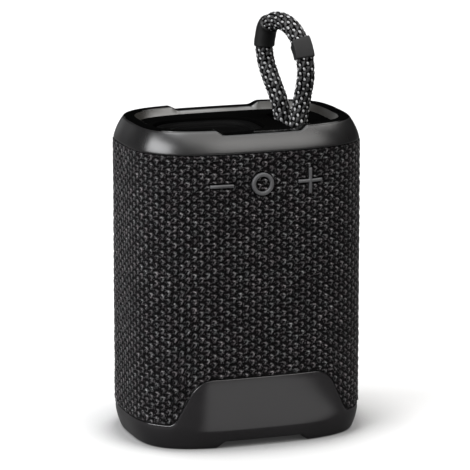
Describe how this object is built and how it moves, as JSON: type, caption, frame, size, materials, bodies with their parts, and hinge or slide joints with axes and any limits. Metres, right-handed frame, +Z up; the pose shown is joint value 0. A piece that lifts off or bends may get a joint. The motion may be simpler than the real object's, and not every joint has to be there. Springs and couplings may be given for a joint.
{
  "type": "portable shower speaker",
  "caption": "Fabric-wrapped portable speaker with moulded crown and base, symbol buttons, a rope loop, end radiators and a rear port flap.",
  "frame": {"origin": "on the floor under the middle of the body", "axes": "+Z up, +X to the right when facing the buttons, the buttons face -Y and the charging port faces +Y"},
  "size_m": [0.083, 0.061, 0.144],
  "materials": {
    "shell": "satin moulded plastic",
    "fabric": "coarse knitted speaker fabric",
    "enclosure": "fine-grained black ABS",
    "rubber_black": "matt silicone rubber",
    "radiator_plate": "black lacquered steel weight",
    "ferrite": "sintered ferrite",
    "paper_cone": "coated paper",
    "copper": "enamelled copper wire",
    "steel": "plated steel",
    "symbol_rubber": "grey silicone rubber",
    "cell_wrap": "metal can in a shrunk plastic wrap",
    "circuit_board": "solder mask on glass-fibre board",
    "wire": "silicone-sleeved wire",
    "rope": "braided polyester rope with light flecks",
    "clamp_plastic": "matt dark-grey plastic"
  },
  "bodies": {
    "speaker_body": {"anchor_bar": "steel", "base_screw_1": "steel", "base_screw_2": "steel", "base_screw_3": "steel", "base_screw_4": "steel", "battery_cell": "cell_wrap", "battery_holder": "enclosure", "battery_lead": "wire", "board_screw_1": "steel", "board_screw_2": "steel", "bottom_cap": "shell", "bottom_gasket": "rubber_black", "bottom_radiator_plate": "radiator_plate", "bottom_radiator_surround": "rubber_black", "button_board": "circuit_board", "button_lead": "wire", "driver_basket": "enclosure", "driver_cone": "paper_cone", "driver_dust_cap": "paper_cone", "driver_front_plate": "steel", "driver_magnet": "ferrite", "driver_spider": "paper_cone", "driver_surround": "rubber_black", "driver_voice_coil": "copper", "driver_yoke": "steel", "enclosure_bottom_plate": "enclosure", "enclosure_shell": "enclosure", "enclosure_top_plate": "enclosure", "fabric_sleeve": "fabric", "main_board": "circuit_board", "minus_switch": "steel", "plate_screw_1": "steel", "plate_screw_2": "steel", "plate_screw_3": "steel", "plate_screw_4": "steel", "plus_switch": "steel", "ring_switch": "steel", "shield_can": "steel", "speaker_lead": "wire", "top_cap": "shell", "top_gasket": "rubber_black", "top_radiator_plate": "radiator_plate", "top_radiator_surround": "rubber_black", "usb_c_port": "steel"},
    "minus_button_body": {"minus_button": "symbol_rubber"},
    "ring_button_body": {"ring_button": "symbol_rubber"},
    "plus_button_body": {"plus_button": "symbol_rubber"},
    "port_cover_body": {"port_cover": "rubber_black"},
    "loop_body": {"wrist_loop": "rope", "loop_clamp": "clamp_plastic", "loop_sleeve": "rubber_black"}
  },
  "joints": [
    {"name": "minus_press", "type": "slide", "parent": "speaker_body", "child": "minus_button_body", "axis": [0, 1, 0], "range_m": [0, 0.0006], "stiffness_N_per_m": 800},
    {"name": "ring_press", "type": "slide", "parent": "speaker_body", "child": "ring_button_body", "axis": [0, 1, 0], "range_m": [0, 0.0006], "stiffness_N_per_m": 800},
    {"name": "plus_press", "type": "slide", "parent": "speaker_body", "child": "plus_button_body", "axis": [0, 1, 0], "range_m": [0, 0.0006], "stiffness_N_per_m": 800},
    {"name": "port_cover_hinge", "type": "hinge", "parent": "speaker_body", "child": "port_cover_body", "pos_m": [0, 0.02945, 0.0125], "axis": [-1, 0, 0], "range_deg": [0, 100]},
    {"name": "loop_swing", "type": "hinge", "parent": "speaker_body", "child": "loop_body", "pos_m": [0.02, 0, 0.101], "axis": [1, 0, 0], "range_deg": [-20, 20]}
  ]
}
